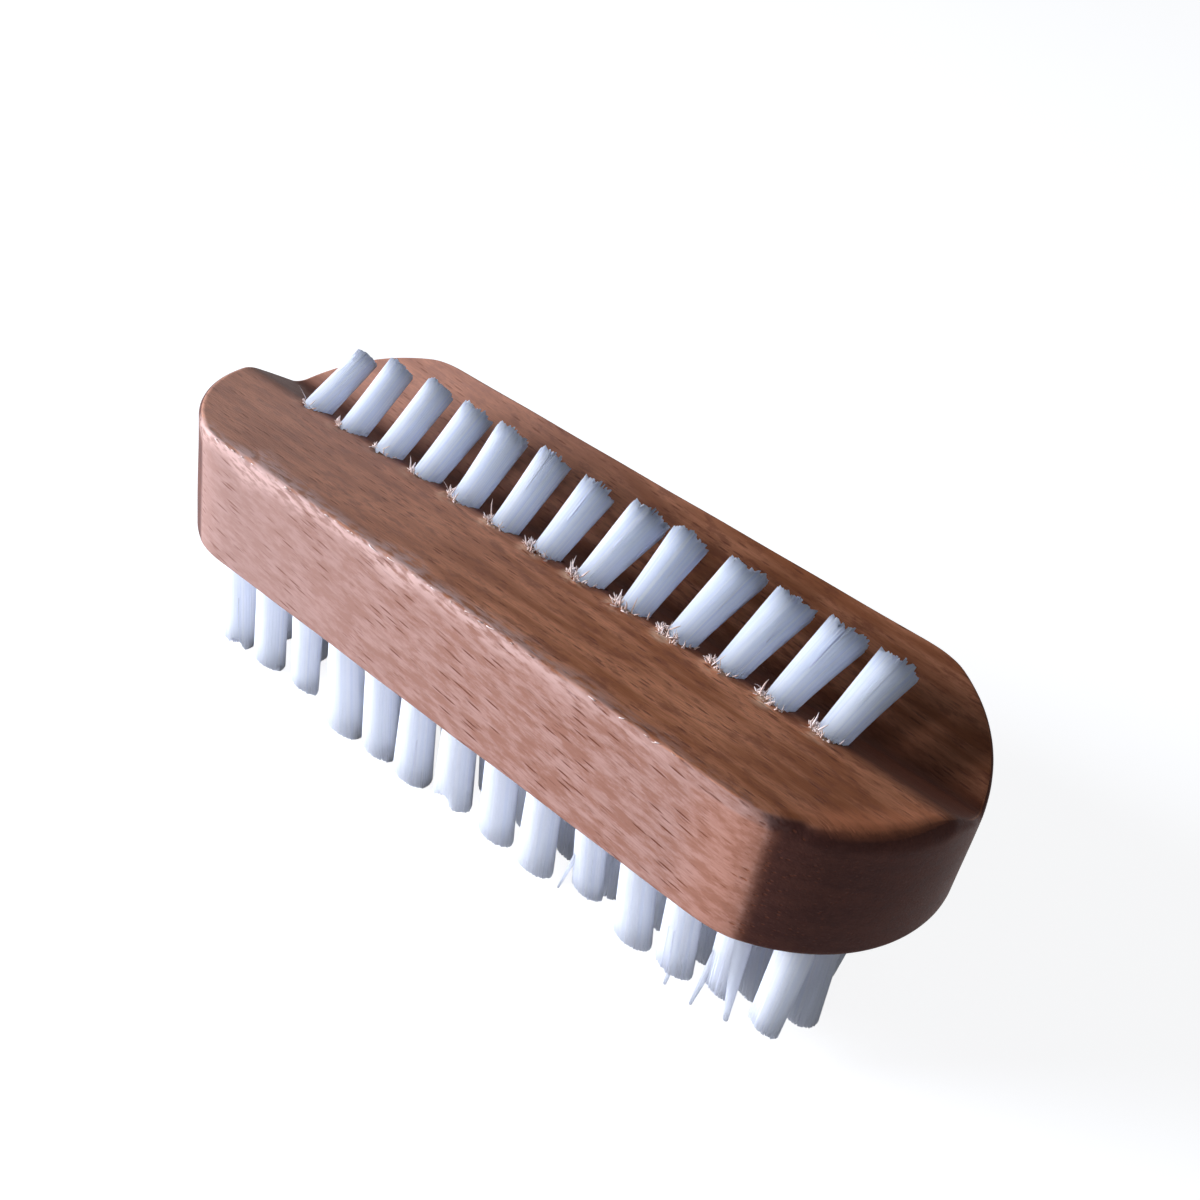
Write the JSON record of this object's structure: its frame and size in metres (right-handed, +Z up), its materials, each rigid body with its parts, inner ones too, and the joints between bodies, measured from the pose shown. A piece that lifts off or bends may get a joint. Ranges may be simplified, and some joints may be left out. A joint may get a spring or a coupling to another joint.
{
  "type": "nail brush",
  "caption": "Double-sided wooden nail brush: a notched block with round bowed ends, a leaning row of nail tufts above and a field of upright hand tufts below.",
  "frame": {"origin": "under the middle of the block, in the plane that the hand tufts stand on", "axes": "+X along the block, +Y from the printed near side towards the side that the nail tufts lean to, +Z up out of the notched face"},
  "size_m": [0.095, 0.034, 0.0359],
  "materials": {
    "beech": "steamed beech, sanded and thinly oiled, satin",
    "nail_nylon": "stiff white nylon bristle, cut tips frayed",
    "hand_nylon": "fine white nylon bristle, satin",
    "anchor_wire": "flat galvanised wire"
  },
  "bodies": {
    "root": {"block": "beech", "nail_row_anchors": "anchor_wire", "nail_tuft_01": "nail_nylon", "nail_tuft_02": "nail_nylon", "nail_tuft_03": "nail_nylon", "nail_tuft_04": "nail_nylon", "nail_tuft_05": "nail_nylon", "nail_tuft_06": "nail_nylon", "nail_tuft_07": "nail_nylon", "nail_tuft_08": "nail_nylon", "nail_tuft_09": "nail_nylon", "nail_tuft_10": "nail_nylon", "nail_tuft_11": "nail_nylon", "nail_tuft_12": "nail_nylon", "nail_tuft_13": "nail_nylon", "hand_row_1": "hand_nylon", "hand_row_2": "hand_nylon", "hand_row_3": "hand_nylon", "hand_row_4": "hand_nylon", "hand_row_5": "hand_nylon", "hand_row_1_anchors": "anchor_wire", "hand_row_2_anchors": "anchor_wire", "hand_row_3_anchors": "anchor_wire", "hand_row_4_anchors": "anchor_wire", "hand_row_5_anchors": "anchor_wire"}
  },
  "joints": []
}
